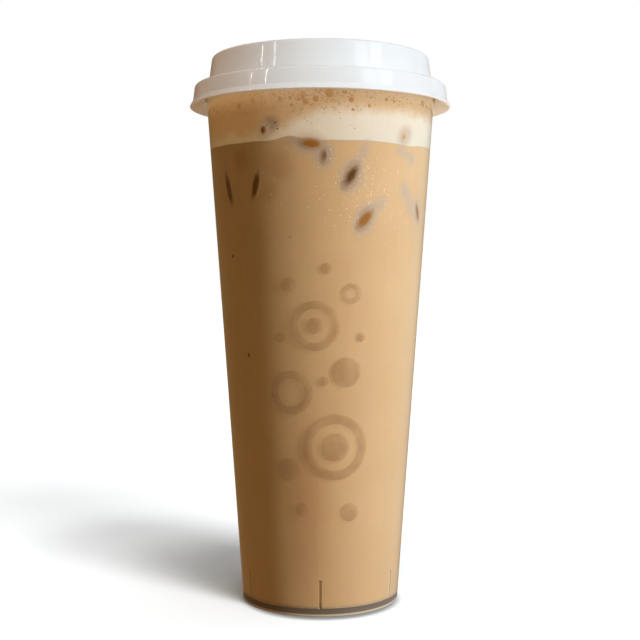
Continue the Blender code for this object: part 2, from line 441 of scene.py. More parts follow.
@dataclass(frozen=True)
class DrinkMarks:
    """What shows of the ice through the wall, in the tea and in the foam."""

    ice: dict[Tone, tuple[Spot, ...]] = field(default_factory=lambda: {
        Tone.DARK: spots(
            (15.6, 152.8, 5.2, 11.4, -20), (98.0, 153.0, 3.2, 9.0, 15), (141.0, 144.0, 3.6, 10.0, -22),
            (-88.0, 157.0, 2.6, 7.4, 20),
        ),
        Tone.BROWN: spots(
            (-55.4, 149.4, 3.6, 13.4, 11), (-34.6, 150.0, 3.4, 11.2, -14), (166.0, 158.5, 3.0, 7.0, 12),
            (-117.0, 150.0, 3.2, 10.4, -12),
        ),
        Tone.AMBER: spots(
            (-4.4, 163.3, 4.1, 10.2, -98), (23.6, 138.2, 4.8, 9.8, -28), (63.6, 141.7, 2.6, 7.6, 24),
            (-28.6, 168.4, 2.2, 2.8, -12), (119.0, 163.0, 3.0, 7.0, 80), (-166.0, 139.0, 4.0, 8.4, 35),
            (-143.0, 163.2, 3.0, 8.0, 96),
        ),
        Tone.TAN: spots((46.1, 167.0, 2.2, 3.8, -22)),
        Tone.GREY: spots((2.0, 159.3, 3.0, 6.4, -4)),
    })
    # Greyish veils where the ice lies just behind a film of tea
    veils: tuple[Spot, ...] = spots(
        (21.8, 161.0, 6.6, 14.0, -22), (18.8, 156.4, 6.0, 10.0, -24), (26.8, 140.8, 7.4, 11.0, -40),
        (31.6, 143.2, 7.4, 12.0, -52), (49.5, 148.2, 9.8, 13.0, 30), (55.0, 143.6, 9.0, 15.0, 30),
        (53.4, 159.8, 7.4, 9.0, 0), (48.5, 161.0, 9.0, 6.4, 0), (44.0, 162.2, 8.4, 6.4, 0),
        (-0.6, 161.0, 8.0, 6.0, -20), (-12.4, 164.4, 14.0, 3.6, 10), (-24.2, 169.6, 7.4, 8.0, 0),
        (49.0, 168.4, 8.6, 8.6, 0), (-56.8, 156.6, 3.8, 8.0, 10), (104.0, 159.0, 6.4, 12.0, -24),
        (148.0, 151.0, 7.0, 15.0, 30), (-160.0, 145.0, 7.4, 15.0, -40), (-110.0, 158.0, 6.0, 12.0, -20),
    )
    # Wide, faint painted shades: painted shadows of ice sunk deeper in the tea, and a tall streak of painted shade low
    # on the front left
    painted_shades: tuple[Spot, ...] = spots(
        (-21.0, 156.0, 16.0, 16.0, 0), (-26.0, 148.0, 12.0, 9.0, 60), (-44.0, 159.0, 12.0, 12.0, 0),
        (-10.0, 36.0, 21.0, 96.0, 0), (128.0, 150.0, 18.0, 20.0, 0), (-128.0, 148.0, 16.0, 18.0, 20),
    )
    # Smoky patches round small pieces of ice in the foam
    smokes: tuple[Spot, ...] = spots((-25.0, 170.2, 10.6, 8.6, 20), (118.0, 171.0, 6.4, 5.4, 0))
    # Small dark specks
    specks: tuple[Spot, ...] = spots(
        (-22.2, 170.7, 1.0, 1.0, 0), (-21.2, 168.5, 1.0, 0.8, 0), (-26.9, 169.9, 0.8, 0.6, 0),
        (-24.6, 169.0, 0.5, 0.6, 0), (-55.7, 126.0, 1.4, 2.2, -20), (-46.1, 91.3, 1.5, 2.3, 25),
        (-15.9, 132.2, 0.4, 1.2, 30), (133.0, 118.0, 0.9, 1.2, 20), (-150.0, 96.0, 0.8, 1.2, 0),
    )


@dataclass(frozen=True)
class CoarseFroth:
    """The froth at the foam's top, lower on the left, with painted light on it: paler to the left and towards the top,
    a painted glow through the lid, and palest in a painted highlight line just under the lid's edge.
    """

    deep: str = "#c5aa83"
    # Painted light: the froth is painted towards this paler colour to the left and towards the top, as a painted glow
    # through the lid
    pale: str = "#eedec2"
    painted_light_from: float = 8 * MM
    painted_light_to: float = -27 * MM
    painted_light_foot: float = 174.5 * MM
    painted_light_top: float = 180.0 * MM
    least_painted_light: float = 0.3
    # Painted highlight: a pale line just under the lid's edge, stronger on the left
    edge: str = "#fff6e6"
    highlight_foot: float = 178.4 * MM
    highlight_top: float = 180.8 * MM
    highlight_right: float = 0.1
    highlight_left: float = 0.5
    start: float = 174.2 * MM
    fade: float = 5.4 * MM
    slope: float = 0.02
    hang: float = 6.2 * MM
    hang_to: float = -18.0 * MM
    drift: float = 5.0 * MM
    drift_size: float = 5.0 * MM
    drift_detail: float = 4.0

    def colour(self, tree: ShaderTree, darken: float = 1.0) -> Node:
        """Works out the froth's colour at the shaded point, with its painted light and painted highlight.

        Args:
            tree: The material's tree.
            darken: The power that the colour is raised to, above 1 for a deeper tone.

        Returns:
            The node that gives the colour.
        """
        parts = tree.axes()
        # Painted glow through the lid, to the left and towards the top
        leftward = tree.ramp(parts[0], self.painted_light_from, self.painted_light_to)
        upward = tree.ramp(parts[2], self.painted_light_foot, self.painted_light_top, self.least_painted_light)
        tint = tree.mix(tree.maths("MULTIPLY", leftward, upward), self.deep, self.pale)
        # Painted highlight line just under the lid's edge
        at_highlight = tree.ramp(parts[2], self.highlight_foot, self.highlight_top)
        highlight_share = tree.ramp(parts[0], self.painted_light_from, self.painted_light_to, self.highlight_right, self.highlight_left)
        tint = tree.mix(tree.maths("MULTIPLY", at_highlight, highlight_share), tint, self.edge)
        return tree.add("Gamma", {0: tint, 1: darken})

    def share(self, tree: ShaderTree) -> NodeSocket:
        """Marks where the foam is coarse froth.

        Args:
            tree: The material's tree.

        Returns:
            An output that is 1 in the froth.
        """
        parts = tree.axes()
        sloped = tree.maths("MULTIPLY_ADD", parts[0], -self.slope, parts[2])
        hanging = tree.maths("ADD", sloped, tree.ramp(parts[0], 0.0, self.hang_to, 0.0, self.hang))
        pattern = tree.noise(self.drift_size, self.drift_detail)
        return tree.ramp(tree.maths("MULTIPLY_ADD", pattern, self.drift, hanging), self.start, self.start + self.fade)


@dataclass(frozen=True)
class Layer:
    """Paint over oval spots: how much it hides, the share of a spot where it is full, and whether its edge wavers."""

    places: Sequence[Spot]
    paint: str
    cover: float
    core: float
    wavers: bool = True


@dataclass(frozen=True)
class DrinkFinish:
    """The look of the tea or the foam, with the ice that shows in it."""

    name: str
    wall: WallShape
    marks: DrinkMarks
    body: str
    clouded: str
    veil: str
    rim: str
    # Colour of the painted shades
    painted_shade: str
    mottle: str
    # Colour of the dark specks, and of the painted shade at the bottom of the rib slots
    speck_and_slot_shade: str
    # Colour of the painted highlight on the rib slots' side walls
    painted_slot_highlight: str = "#fbead0"
    smoke: str = "#2f2a26"
    froth: CoarseFroth | None = None
    cloud_size: float = 24 * MM
    waver: float = 1.1 * MM
    waver_size: float = 2.4 * MM
    streak_size: float = 3.0 * MM
    streak_stretch: float = 0.04
    streak_cover: float = 0.10
    grain_size: float = 0.5 * MM
    grain_cover: float = 0.12
    halo_margin: float = 3.4 * MM
    rim_margin: float = 0.7 * MM
    # Painted highlight on the side walls of the slots that the ribs cut, and painted shade at their bottom, by depth in
    # the wall
    painted_rib_highlight: float = 0.8
    painted_rib_highlight_depth: tuple[float, float] = (-0.05 * MM, -0.25 * MM)
    painted_rib_shade: float = 0.32
    painted_rib_shade_depth: tuple[float, float] = (-0.58 * MM, -0.66 * MM)
    glow: float = 0.4
    glow_depth: float = 1.5 * MM

    def layers(self) -> tuple[Layer, ...]:
        """The paint for the ice and the specks, from the lowest layer up.

        Returns:
            The layers.
        """
        marks = self.marks
        cores = [spot for tone, places in marks.ice.items() if tone is not Tone.BROWN for spot in places]
        halos, rims = ([spot.grown(margin) for spot in cores] for margin in (self.halo_margin, self.rim_margin))
        return (
            # Painted shade: the shadows of sunk ice and the tall streak low on the front left
            Layer(marks.painted_shades, self.painted_shade, cover=0.35, core=0.2),
            Layer(marks.veils, self.veil, cover=0.85, core=0.0),
            Layer(marks.smokes, self.smoke, cover=0.45, core=0.1),
            Layer(halos, self.veil, cover=0.9, core=0.3),
            Layer(rims, self.rim, cover=1.0, core=0.72, wavers=False),
            Layer(marks.specks, self.speck_and_slot_shade, cover=0.85, core=0.3, wavers=False),
        )

    def mask(self, tree: ShaderTree, place: Any, spot: Spot, core: float) -> NodeSocket:
        """Marks an oval spot on the wall.

        Args:
            tree: The material's tree.
            place: The output that says where the point is.
            spot: The oval.
            core: The share of the oval that is fully marked.

        Returns:
            An output that is 1 inside the core and 0 outside the oval.
        """
        matrix = self.wall.frame_at(spot.angle, spot.height, self.wall.inner(spot.height), spot.lean)
        local = tree.add("Mapping", {
            "Vector": place,
            "Location": matrix.translation,
            "Rotation": matrix.to_euler(),
            "Scale": (spot.width / 2, spot.length / 2, spot.width + spot.length),
        }, vector_type="TEXTURE")
        return tree.ramp(tree.vector_maths("LENGTH", local).outputs["Value"], 1.0, core)

    def material(self) -> Material:
        """Makes the drink's material.

        Returns:
            The material.
        """
        tree = ShaderTree.for_material(self.name)
        place = tree.place()
        wavering = tree.add("TexNoise", {"Vector": place, "Scale": 1 / self.waver_size}).outputs["Color"]
        pushed = tree.vector_maths("MULTIPLY_ADD", wavering, (self.waver,) * 3, place)
        pushed = tree.vector_maths("SUBTRACT", pushed, (self.waver / 2,) * 3)
        colour = tree.mix(tree.clouds(self.cloud_size), self.body, self.clouded)
        if self.froth:
            colour = tree.mix(self.froth.share(tree), colour, self.froth.colour(tree))
        stretched = tree.add("Mapping", {"Vector": place, "Scale": (1.0, 1.0, self.streak_stretch)})
        streaks = tree.clouds(self.streak_size, 0.0, self.streak_cover, low=0.5, high=0.75, place=stretched)
        grain = tree.clouds(self.grain_size, 0.0, self.grain_cover, low=0.4)
        colour = tree.mix(tree.maths("ADD", streaks, grain), colour, self.mottle)
        for layer in self.layers():
            strongest = 0.0
            for spot in layer.places:
                oval = self.mask(tree, pushed if layer.wavers else place, spot, layer.core)
                strongest = tree.maths("MAXIMUM", oval, strongest)
            colour = tree.mix(tree.maths("MULTIPLY", strongest, layer.cover), colour, layer.paint)
        depth = tree.depth_in_wall(self.wall)
        # Painted highlight on the slots' side walls and painted shade at their bottom
        colour = tree.mix(tree.ramp(depth, *self.painted_rib_highlight_depth, 0.0, self.painted_rib_highlight), colour, self.painted_slot_highlight)
        colour = tree.mix(tree.ramp(depth, *self.painted_rib_shade_depth, 0.0, self.painted_rib_shade), colour, self.speck_and_slot_shade)
        return tree.finish(tree.add("BsdfPrincipled", {
            "Base Color": colour,
            "Roughness": tree.clouds(3 * MM, first=0.38, last=0.5),
            "IOR": 1.34,
            "Specular IOR Level": 0.2,
            "Subsurface Weight": self.glow,
            "Subsurface Radius": (1.0, 0.5, 0.25),
            "Subsurface Scale": self.glow_depth,
        }))


@dataclass(frozen=True)
class ClearPlastic:
    """The cup's clear plastic, which lets lamps through to the drink; its frosted foot, painted dark as painted shade
    of the hollow under the floor, with a painted highlight along its bottom edge; and its milky lip, painted cream as a
    painted reflection of the lid's inside.
    """

    tint: str = "#fdfcfa"
    refraction: float = 1.49
    smoothest: float = 0.03
    dullest: float = 0.09
    relief: float = 0.02 * MM
    # Painted shade: the frosted foot's dark colour, for the shaded hollow under the floor seen through it
    shaded_frost: str = "#756a5e"
    # Painted highlight along the foot's bottom edge
    frost_edge_highlight: str = "#d8c8ae"
    frost_foot: float = 0.7 * MM
    frost_top: float = 2.9 * MM
    frost_fade: float = 0.25 * MM
    frost_cover: float = 0.85
    # Painted reflection: the lip's milky cream, for the lid's inside reflected in it
    lip_milk_and_reflection: str = "#e8d8bc"
    lip_foot: float = 183.4 * MM
    lip_glow: float = 0.5
    fade: float = 0.3 * MM

    def material(self) -> Material:
        """Makes the cup's material.

        Returns:
            The material.
        """
        tree = ShaderTree.for_material("clear_plastic")
        glass = tree.add("BsdfPrincipled", {
            "Base Color": self.tint,
            "Transmission Weight": 1.0,
            "IOR": self.refraction,
            "Roughness": tree.clouds(14 * MM, self.smoothest, self.dullest, low=0.35, high=0.65, detail=3.0),
            "Normal": tree.bump(tree.noise(9 * MM), self.relief),
        })
        path = tree.add("LightPath").outputs
        passing = tree.maths("MAXIMUM", path["Is Shadow Ray"], path["Is Diffuse Ray"])
        clear = tree.mix_shaders(passing, glass, tree.add("BsdfTransparent", {"Color": self.tint}))
        height = tree.axes()[2]
        # Painted highlight at the foot's bottom edge, painted shade over the rest of the foot, and a painted reflection
        # on the lip
        at_highlight = tree.ramp(height, self.frost_foot + self.fade, self.frost_foot)
        at_foot = tree.ramp(height, self.frost_top, self.frost_top - self.frost_fade)
        at_lip = tree.ramp(height, self.lip_foot, self.lip_foot + self.fade)
        frosted = tree.add("BsdfPrincipled", {
            "Base Color": tree.mix(at_lip, tree.mix(at_highlight, self.shaded_frost, self.frost_edge_highlight), self.lip_milk_and_reflection),
            "Roughness": 0.45,
            "IOR": self.refraction,
        })
        through = tree.add("BsdfTranslucent", {"Color": self.lip_milk_and_reflection})
        milky = tree.mix_shaders(tree.maths("MULTIPLY", at_lip, self.lip_glow), frosted, through)
        cover = tree.maths("MULTIPLY", tree.maths("MAXIMUM", at_foot, at_lip), self.frost_cover)
        return tree.finish(tree.mix_shaders(cover, clear, milky))


@dataclass(frozen=True)
class WhitePlastic:
    """The lid's smooth white plastic, thin enough to let some light glow through."""

    colour: str = "#f1f1f0"
    clouded: str = "#eeeeec"
    smoothest: float = 0.05
    dullest: float = 0.08
    relief: float = 0.004 * MM
    through: str = "#f1ece2"
    glow: float = 0.2

    def material(self) -> Material:
        """Makes the lid's material.

        Returns:
            The material.
        """
        tree = ShaderTree.for_material("white_plastic")
        shader = tree.add("BsdfPrincipled", {
            "Base Color": tree.mix(tree.clouds(30 * MM), self.colour, self.clouded),
            "Roughness": tree.clouds(4 * MM, self.smoothest, self.dullest),
            "IOR": 1.49,
            "Normal": tree.bump(tree.noise(1.6 * MM, detail=1.0), self.relief),
        })
        return tree.finish(tree.mix_shaders(self.glow, shader, tree.add("BsdfTranslucent", {"Color": self.through})))


@dataclass(frozen=True)
class WallContact:
    """Something in the drink that touches the wall: one colour at its edge, another at its middle.

    The rise is how far the middle stands out of the drink, and the core is the share of it in the second colour.
    """

    name: str
    wall: WallShape
    edge: str
    middle: str
    rise: float
    core: float = 0.2
    unevenness: float = 0.3
    grain: float = 1.0 * MM

    def material(self) -> Material:
        """Makes the material, which changes as the piece stands out of the drink.

        Returns:
            The material.
        """
        tree = ShaderTree.for_material(self.name)
        stands = tree.maths("SUBTRACT", tree.depth_in_wall(self.wall), self.wall.overlap)
        below_top = tree.maths("SQRT", tree.maths("SUBTRACT", 1.0, tree.maths("DIVIDE", stands, self.rise)))
        uneven = tree.maths("MULTIPLY_ADD", tree.noise(self.grain, detail=3.0), self.unevenness, below_top)
        centred = tree.maths("SUBTRACT", uneven, self.unevenness / 2)
        return tree.finish(tree.add("BsdfPrincipled", {
            "Base Color": tree.mix(tree.ramp(centred, 1.0, self.core), self.edge, self.middle),
            "Roughness": 0.4,
            "IOR": 1.31,
            "Specular IOR Level": 0.15,
        }))


@dataclass(frozen=True)
class FrothSkin:
    """The thin skins of the froth's bubbles: the froth's colour with its painted light, deeper, and deepest at each
    bubble's edge.
    """

    wall: WallShape
    froth: CoarseFroth
    rise: float = 0.12 * MM
    blush: str = "#fff4ee"
    middle_depth: float = 1.5
    edge_depth: float = 2.1
    core: float = 0.75

    def material(self) -> Material:
        """Makes the material.

        Returns:
            The material.
        """
        tree = ShaderTree.for_material("froth_skin")
        inside = tree.ramp(tree.maths("DIVIDE", tree.depth_in_wall(self.wall), self.rise), 0.0, self.core)
        edge, middle = (self.froth.colour(tree, depth) for depth in (self.edge_depth, self.middle_depth))
        return tree.finish(tree.add("BsdfPrincipled", {
            "Base Color": tree.mix(1.0, tree.mix(inside, edge, middle), self.blush, "MULTIPLY"),
            "Roughness": tree.clouds(1.5 * MM, first=0.35, last=0.5),
            "IOR": 1.34,
            "Specular IOR Level": 0.15,
        }))


@dataclass(frozen=True)
class PrintInk:
    """The thin brownish ink of the cup's print, which lets some of the tea show through."""

    colour: str = "#a2764b"
    thinnest: float = 0.08
    thickest: float = 0.16

    def material(self) -> Material:
        """Makes the ink's material.

        Returns:
            The material.
        """
        tree = ShaderTree.for_material("print_ink")
        cover = tree.clouds(6 * MM, self.thinnest, self.thickest, detail=3.0)
        return tree.finish(tree.add("BsdfPrincipled", {"Base Color": self.colour, "Roughness": 0.4, "Alpha": cover}))


@dataclass
class Cup:
    """The clear cup: foot ring, floor, wall and turned-down lip, with its ribs."""

    wall: WallShape
    ribs: Ribs
    finish: ClearPlastic
    height: float = 187.0 * MM
    lip_radius: float = 45.0 * MM
    lip_thickness: float = 1.2 * MM
    lip_drop: float = 2.9 * MM
    lip_rounding: float = 0.5 * MM
    lip_edge_rounding: float = 0.27 * MM
    floor_underside: float = 1.4 * MM
    floor_top: float = 2.5 * MM
    floor_corner: float = 1.5 * MM
    foot_width: float = 2.2 * MM
    foot_rounding: float = 0.5 * MM

    def corners(self) -> list[Corner]:
        """The cup's outline, from the middle of its underside out, up and back in.

        Returns:
            The outline's corners.
        """
        wall, lip_under, lip_foot = self.wall, self.height - self.lip_thickness, self.height - self.lip_drop
        lip_inner = self.lip_radius - wall.thickness
        foot_inner = wall.base_radius - self.foot_width
        return [
            (0.0, self.floor_underside),
            (foot_inner, self.floor_underside, self.foot_rounding),
            (foot_inner, 0.0, self.foot_rounding),
            (wall.base_radius, 0.0, self.foot_rounding),
            (wall.outer(lip_under), lip_under, self.lip_rounding),
            (lip_inner, lip_under, self.lip_rounding),
            (lip_inner, lip_foot, self.lip_edge_rounding),
            (self.lip_radius, lip_foot, self.lip_edge_rounding),
            (self.lip_radius, self.height, self.lip_rounding),
            (wall.inner(self.height), self.height, self.lip_rounding),
            (wall.inner(self.floor_top), self.floor_top, self.floor_corner),
            (0.0, self.floor_top),
        ]

    def build(self) -> Object:
        """Makes the cup and fuses its ribs to it.

        Returns:
            The cup.
        """
        cup = add_piece("cup_shell", turned(self.corners()), self.finish.material(), ["cup"])
        carve(cup, self.ribs.bars(0.0), "UNION")
        return cup


@dataclass(frozen=True)
class WavyLevel:
    """A level of the drink: its waves by count, height and crest, and its humps by place, height and half width."""

    height: float
    waves: tuple[tuple[int, float, float], ...]
    humps: tuple[tuple[float, float, float], ...] = ()

    def rise(self, angle: float) -> float:
        """How far the level stands above its mean height.

        Args:
            angle: The place round the cup, in radians.

        Returns:
            The rise at the wall.
        """
        total = sum(high * math.cos(count * (angle - math.radians(crest))) for count, high, crest in self.waves)
        for place, high, half_width in self.humps:
            away = (math.degrees(angle) - place + 180) % 360 - 180
            total += high * math.exp(-((away / half_width) ** 2))
        return total


@dataclass
class Drink:
    """The tea and the foam, which reach just into the wall, so that no air shows between them."""

    wall: WallShape
    ribs: Ribs
    tea_finish: DrinkFinish
    foam_finish: DrinkFinish
    line: WavyLevel = WavyLevel(
        164.75 * MM, ((2, 0.30 * MM, 90.0), (7, 0.07 * MM, 20.0), (19, 0.05 * MM, 4.0)),
        ((-15.0, 1.50 * MM, 6.5), (50.0, -0.60 * MM, 13.0), (118.0, 0.95 * MM, 8.0), (-142.0, 1.10 * MM, 7.0)),
    )
    top: WavyLevel = WavyLevel(184.0 * MM, ((3, 0.35 * MM, 25.0), (5, 0.25 * MM, 70.0)))
    floor: float = 2.5 * MM
    floor_corner: float = 1.5 * MM
    seam: float = 0.01 * MM
    level_slack: float = 0.001 * MM
    rings: tuple[float, ...] = (1.0, 0.93, 0.85, 0.72, 0.6, 0.45, 0.3, 0.15, 0.0)

    def ripple(self, body: BMesh, height: float, level: WavyLevel) -> None:
        """Lifts the points at one height by a level's waves, and keeps those at the rim on the wall's slope.

        Args:
            body: The drink's body.
            height: The height of the points to lift.
            level: The level that they lie on.
        """
        rim = self.wall.drink(height)
        for point in (vert.co for vert in body.verts if abs(vert.co.z - height) <= self.level_slack):
            lift = level.rise(math.atan2(point.x, -point.y)) * (math.hypot(point.x, point.y) / rim) ** 2
            grown = 1 + self.wall.taper * lift / rim
            point.xyz = point.x * grown, point.y * grown, point.z + lift

    def disc(self, height: float) -> list[Corner]:
        """The corners of a flat face across the drink, from the wall in."""
        return [(self.wall.drink(height) * share, height) for share in self.rings]

    def build_tea(self) -> Object:
        """Makes the tea, with slots for the ribs.

        Returns:
            The tea.
        """
        floor = self.floor - self.wall.overlap
        body = turned([
            (0.0, floor), (self.wall.drink(floor), floor, self.floor_corner), *self.disc(self.line.height),
        ])
        self.ripple(body, self.line.height, self.line)
        tea = add_piece("tea", body, self.tea_finish.material(), ["milk_tea"])
        carve(tea, self.ribs.bars(-self.wall.overlap), "DIFFERENCE")
        return tea

    def build_foam(self) -> Object:
        """Makes the foam, from the tea's line to its own lumpy top.

        Returns:
            The foam.
        """
        floor = self.line.height + self.seam
        body = turned(self.disc(floor)[::-1] + self.disc(self.top.height))
        self.ripple(body, floor, self.line)
        self.ripple(body, self.top.height, self.top)
        return add_piece("foam", body, self.foam_finish.material(), ["milk_foam"])


@dataclass
class Ice:
    """Half-melted pieces of ice, sunk in the drink with one rounded edge against the wall."""

    wall: WallShape
    places: dict[Tone, tuple[Spot, ...]]
    poke: float = 0.16 * MM
    depth: float = 5.0 * MM
    dent: float = 0.12
    dent_scale: float = 1.6
    rings: int = 26
    turns: int = 44
    crowding: float = 1.8
    # The colours at the edge and in the middle of each tone, and how much the middle takes up; the darker middles are
    # painted shade, the drink's shaded depths seen through the clear ice
    tones: tuple[tuple[Tone, str, str, float], ...] = (
        (Tone.DARK, "#b39c82", "#5a3a10", 0.2),
        (Tone.BROWN, "#bf9c6c", "#74501a", 0.5),
        (Tone.AMBER, "#b39c82", "#966426", 0.35),
        (Tone.TAN, "#c9b99f", "#b0946a", 0.1),
        (Tone.GREY, "#b39c82", "#77604a", 0.1),
    )

    def half_size(self, wanted: float, bend: float) -> float:
        """Half the size of ice that touches over half a wanted width, where the wall bends by one over its radius."""
        return math.sqrt(self.depth / (2 * self.poke / wanted ** 2 + bend))

    def lump(self, body: BMesh, spot: Spot) -> None:
        """Adds one piece of ice to a body.

        Args:
            body: The body that it is added to.
            spot: Where the ice touches the wall.
        """
        lean, bend = math.radians(spot.lean), 1 / self.wall.inner(spot.height)
        half_width = self.half_size(spot.width / 2, bend * math.cos(lean) ** 2)
        half_length = self.half_size(spot.length / 2, bend * math.sin(lean) ** 2)
        place = self.wall.frame_at(spot.angle, spot.height, self.wall.drink(spot.height), spot.lean)
        place @= Matrix.Translation((0, 0, self.poke - self.depth))
        place @= Matrix.Diagonal((half_width, half_length, self.depth, 1))
        shift = Vector((spot.angle, spot.height / MM, 0))
        skin(body, [
            [place @ (point * (1 + self.dent * noise.noise(point * self.dent_scale + shift) * (1 - point.z)))
             for point in ring]
            for ring in ball(self.rings, self.turns, self.crowding)
        ])

    def build(self) -> None:
        """Makes one piece for each tone of ice."""
        for tone, edge, middle, core in self.tones:
            body = bmesh.new()
            for spot in self.places[tone]:
                self.lump(body, spot)
            finish = WallContact(f"{tone.value}_ice", self.wall, edge, middle, self.poke, core)
            add_piece(f"ice_{tone.value}", body, finish.material())


@dataclass
class BubbleField:
    """Many small bubbles of one kind, lying against the wall as low domes. Each row ends with the bubble's radius."""

    name: str
    wall: WallShape
    finish: WallContact | FrothSkin
    slot: str
    bubbles: Rows
    flatness: float = 0.1
    least_rise: float = 0.06 * MM
    most_rise: float = 0.3 * MM
    turns: int = 16
    rings: int = 4

    def build(self) -> Object:
        """Makes all the bubbles as one piece.

        Returns:
            The piece.
        """
        body, shape = bmesh.new(), ball(self.rings, self.turns)
        for angle, *sizes in self.bubbles:
            height, radius = (size * MM for size in sizes)
            rise = min(max(radius * self.flatness, self.least_rise), self.most_rise)
            place = self.wall.frame_at(angle, height, self.wall.drink(height))
            place @= Matrix.Diagonal((radius, radius, rise, 1))
            skin(body, [[place @ point for point in ring] for ring in shape])
        return add_piece(self.name, body, self.finish.material())


@dataclass
class Froth:
    """Chooses where the froth's bubbles are: the large ones listed, the rest by a seeded draw."""

    seed: int = 5
    top: float = 181.0
    # Middling bubbles, one every few degrees of the sides and the back
    middling_angles: Iterable[int] = range(60, 330, 11)
    middling_stray: float = 4.0
    middling_foot: float = 176.5
    middling_radii: tuple[float, float] = (0.45, 1.2)
    # Small ones all round, fewer and smaller lower down, and fewer in gaps that come back every third of the way round
    small_count: int = 1200
    small_fall: float = 3.4
    small_reach: float = 14.0
    small_radius: float = 0.4
    small_shrink: float = 7.0
    small_least: float = 0.3
    gap: tuple[float, float] = (15.0, 60.0)
    gap_repeat: float = 120.0
    gap_share: float = 0.6
    # The smallest, in crowds
    crowds: tuple[float, ...] = (-9.0, 120.0, -140.0)
    crowd_count: int = 260
    crowd_spread: float = 14.0
    crowd_start: float = 1.0
    crowd_fall: float = 4.0
    crowd_reach: float = 13.0
    crowd_radii: tuple[float, float] = (0.09, 0.22)
    large: Rows = (
        (4.3, 179.9, 1.35), (-2.1, 178.0, 1.0), (-7.0, 177.3, 0.9), (-8.0, 179.6, 1.05), (14.8, 178.0, 0.85),
        (15.6, 174.7, 0.5), (-19.3, 178.6, 0.75), (-14.3, 178.6, 0.6), (-13.6, 176.2, 0.55), (-10.4, 177.9, 0.55),
        (24.0, 176.2, 0.55), (33.4, 178.8, 0.65), (38.0, 178.5, 0.5), (-21.9, 179.9, 0.7), (-33.8, 178.6, 0.8),
    )

    def draw(self) -> Rows:
        """Draws the smaller bubbles and adds the large ones.

        Returns:
            All the bubbles' rows.
        """
        dice = random.Random(self.seed)
        rows = list(self.large)
        for angle in self.middling_angles:
            place = angle + dice.uniform(-self.middling_stray, self.middling_stray)
            rows.append((place, dice.uniform(self.middling_foot, self.top), dice.uniform(*self.middling_radii)))
        for _ in range(self.small_count):
            angle, drop = dice.uniform(-180, 180), dice.expovariate(1 / self.small_fall)
            biggest = self.small_radius * math.exp(-drop / self.small_shrink)
            thinned = self.gap[0] < angle % self.gap_repeat < self.gap[1] and dice.random() < self.gap_share
            if drop < self.small_reach and not thinned:
                rows.append((angle, self.top - drop, dice.uniform(self.small_least, 1.0) * biggest))
        for middle in self.crowds:
            for _ in range(self.crowd_count):
                drop = self.crowd_start + dice.expovariate(1 / self.crowd_fall)
                row = dice.gauss(middle, self.crowd_spread), self.top - drop, dice.uniform(*self.crowd_radii)
                if drop < self.crowd_reach:
                    rows.append(row)
        return rows


@dataclass
class FineBubbles:
    """Chooses where the tea's tiny bubbles, painted near white as painted glints, cling to the wall: round the ice, and
    sparse lower down.
    """

    seed: int = 11
    # Each crowd's angle, its number of bubbles and how far they spread
    crowds: tuple[tuple[float, int, float], ...] = (
        (22.0, 400, 15.0), (-20.0, 26, 14.0), (150.0, 120, 18.0), (-130.0, 90, 18.0),
    )
    middle: float = 147.0
    spread: float = 8.0
    top: float = 163.0
    radii: tuple[float, float] = (0.07, 0.11)
    coarse_share: float = 0.12
    coarse_radii: tuple[float, float] = (0.14, 0.19)
    stray_count: int = 160
    stray_heights: tuple[float, float] = (60.0, 162.0)
    stray_radii: tuple[float, float] = (0.06, 0.11)

    def draw(self) -> Rows:
        """Draws the bubbles.

        Returns:
            Their rows.
        """
        dice, rows = random.Random(self.seed), []
        for centre, count, across in self.crowds:
            for _ in range(count):
                height = dice.gauss(self.middle, self.spread)
                radius = dice.uniform(*(self.coarse_radii if dice.random() < self.coarse_share else self.radii))
                if height < self.top:
                    rows.append((dice.gauss(centre, across), height, radius))
        for _ in range(self.stray_count):
            rows.append((dice.uniform(-180, 180), dice.uniform(*self.stray_heights), dice.uniform(*self.stray_radii)))
        return rows


@dataclass
class PrintedPattern:
    """A plain pattern of rising rings and dots, printed on the front of the wall."""

    wall: WallShape
    finish: PrintInk
    lift: float = 0.03 * MM
    sink: float = 0.02 * MM
    turns: int = 72
    step: float = 1.2 * MM
    # The rows end with the motif's radius and that of its open middle
    motifs: Rows = (
        (9.0, 60.0, 11.5, 8.2), (9.0, 60.0, 5.0, 0), (-17.0, 79.0, 7.6, 4.8), (15.0, 86.0, 5.2, 0),
        (-3.0, 102.0, 8.6, 5.8), (-3.0, 102.0, 2.8, 0), (-20.0, 52.0, 4.0, 0), (-12.0, 38.0, 2.4, 0),
        (19.0, 37.0, 3.2, 0), (17.0, 113.0, 3.6, 1.7), (-17.0, 116.0, 2.6, 0), (3.0, 121.5, 1.9, 0),
        (-23.0, 98.0, 1.9, 0), (23.0, 98.0, 1.6, 0), (2.0, 83.0, 1.7, 0),
    )

    def build(self) -> None:
        """Makes the whole print as one piece, each motif as a thin closed film."""
        body, wall = bmesh.new(), self.wall
        for angle, *sizes in self.motifs:
            middle_height, radius, middle = (size * MM for size in sizes)
            steps = max(2, round((radius - middle) / self.step))
            radii = [middle + (radius - middle) * step / steps for step in range(steps + 1)]
            rings = []
            for reach, lift in [(reach, self.lift) for reach in radii] + [(reach, -self.sink) for reach in radii[::-1]]:
                rings.append([])
                for turn in range(self.turns if reach else 1):
                    around = math.tau * turn / self.turns
                    height = middle_height + reach * math.sin(around)
                    side = math.degrees(reach * math.cos(around) / wall.outer(middle_height))
                    rings[-1].append(polar(angle + side, wall.outer(height) + lift, height))
            skin(body, rings, looped=middle > 0)
        add_piece("print", body, self.finish.material())


